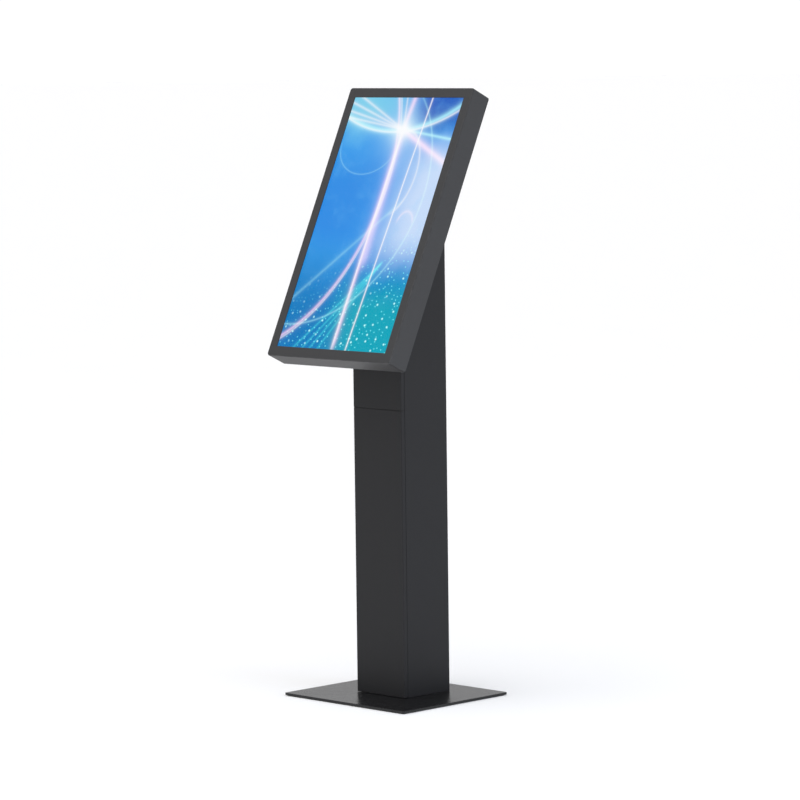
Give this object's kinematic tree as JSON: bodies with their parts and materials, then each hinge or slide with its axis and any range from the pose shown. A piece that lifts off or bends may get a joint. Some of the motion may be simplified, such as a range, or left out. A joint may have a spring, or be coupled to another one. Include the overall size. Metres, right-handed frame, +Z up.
{
  "type": "touchscreen kiosk",
  "caption": "Free-standing touchscreen kiosk: a steel floor plate, a square column with a rear service door, and a portrait display head leaning back on its slanted top.",
  "frame": {"origin": "on the floor, under the middle of the column, on the underside of the mat", "axes": "+Z up, -Y towards the visitor who faces the screen, +X to the visitor's right"},
  "size_m": [0.448, 0.426, 1.5794],
  "materials": {
    "head_paint": "satin charcoal powder coat with a fine grain",
    "column_paint": "satin charcoal powder coat with a fine grain",
    "plate_paint": "semi-gloss black powder coat",
    "zinc_steel": "bright zinc plate",
    "chrome": "polished",
    "black_plastic": "fine moulded texture",
    "rubber_mat": "matte ribbed rubber",
    "cable_jacket": "matte cable jacket",
    "cover_glass": "polished, slightly blue",
    "display": "backlit picture of blue light streaks",
    "circuit_board": "green solder mask",
    "supply_case": "grey coated case"
  },
  "bodies": {
    "frame": {"base_mat": "rubber_mat", "base_plate": "plate_paint", "foot_plate": "zinc_steel", "foot_bolt_1": "zinc_steel", "foot_bolt_2": "zinc_steel", "foot_bolt_3": "zinc_steel", "foot_bolt_4": "zinc_steel", "side_panel_left": "column_paint", "side_panel_right": "column_paint", "front_lower_panel": "column_paint", "front_upper_panel": "column_paint", "rear_neck_panel": "column_paint", "io_panel": "column_paint", "lock_strike": "zinc_steel", "door_hinge_lower_frame_leaf": "zinc_steel", "door_hinge_lower_pin": "zinc_steel", "door_hinge_upper_frame_leaf": "zinc_steel", "door_hinge_upper_pin": "zinc_steel", "power_inlet": "black_plastic", "switch_housing": "black_plastic", "network_socket": "black_plastic", "power_supply": "supply_case", "inlet_lead": "cable_jacket", "wiring_harness": "cable_jacket", "front_housing": "head_paint", "touch_glass": "cover_glass", "lcd_panel": "display", "display_chassis": "zinc_steel", "head_rail_left": "zinc_steel", "head_rail_right": "zinc_steel", "head_mount_plate": "zinc_steel", "driver_board": "circuit_board", "media_player": "black_plastic", "speaker_left": "black_plastic", "speaker_right": "black_plastic", "rear_cover": "head_paint", "mount_bolt_1": "zinc_steel", "mount_bolt_2": "zinc_steel", "mount_bolt_3": "zinc_steel", "mount_bolt_4": "zinc_steel", "fan_frame_left": "black_plastic", "fan_frame_right": "black_plastic", "hatch_strike": "zinc_steel", "hatch_hinge_frame_leaf": "zinc_steel", "hatch_hinge_pin": "zinc_steel"},
    "rear_door": {"rear_door": "column_paint", "door_lock_barrel": "chrome", "door_hinge_lower_door_leaf": "zinc_steel", "door_hinge_upper_door_leaf": "zinc_steel"},
    "door_cam": {"door_lock_plug": "chrome", "door_lock_cam": "zinc_steel"},
    "service_hatch": {"service_hatch": "head_paint", "hatch_lock_barrel": "chrome", "hatch_hinge_door_leaf": "zinc_steel"},
    "hatch_cam": {"hatch_lock_plug": "chrome", "hatch_lock_cam": "zinc_steel"},
    "power_rocker": {"power_rocker": "black_plastic"},
    "fan_left": {"fan_rotor_left": "black_plastic"},
    "fan_right": {"fan_rotor_right": "black_plastic"}
  },
  "joints": [
    {"name": "rear_door_hinge", "type": "hinge", "parent": "frame", "child": "rear_door", "pos_m": [0.066, 0.0878, 0.61021], "axis": [0, 0, -1], "range_deg": [0, 110]},
    {"name": "door_lock_turn", "type": "hinge", "parent": "rear_door", "child": "door_cam", "pos_m": [-0.043, 0.084, 0.61021], "axis": [0, -1, 0], "range_deg": [0, 90]},
    {"name": "hatch_hinge", "type": "hinge", "parent": "frame", "child": "service_hatch", "pos_m": [-0.109, 0.06727, 1.44642], "axis": [0, 0.4226, 0.9063], "range_deg": [0, 105]},
    {"name": "hatch_lock_turn", "type": "hinge", "parent": "service_hatch", "child": "hatch_cam", "pos_m": [0.086, 0.06382, 1.44802], "axis": [0, 0.9063, -0.4226], "range_deg": [0, 90]},
    {"name": "power_rocker_tilt", "type": "hinge", "parent": "frame", "child": "power_rocker", "pos_m": [0.014, 0.0825, 0.062], "axis": [1, 0, 0], "range_deg": [0, 18]},
    {"name": "fan_left_spin", "type": "hinge", "parent": "frame", "child": "fan_left", "pos_m": [-0.17, 0.05494, 1.45216], "axis": [0, 0.9063, -0.4226], "continuous": true},
    {"name": "fan_right_spin", "type": "hinge", "parent": "frame", "child": "fan_right", "pos_m": [0.17, 0.05494, 1.45216], "axis": [0, 0.9063, -0.4226], "continuous": true}
  ]
}
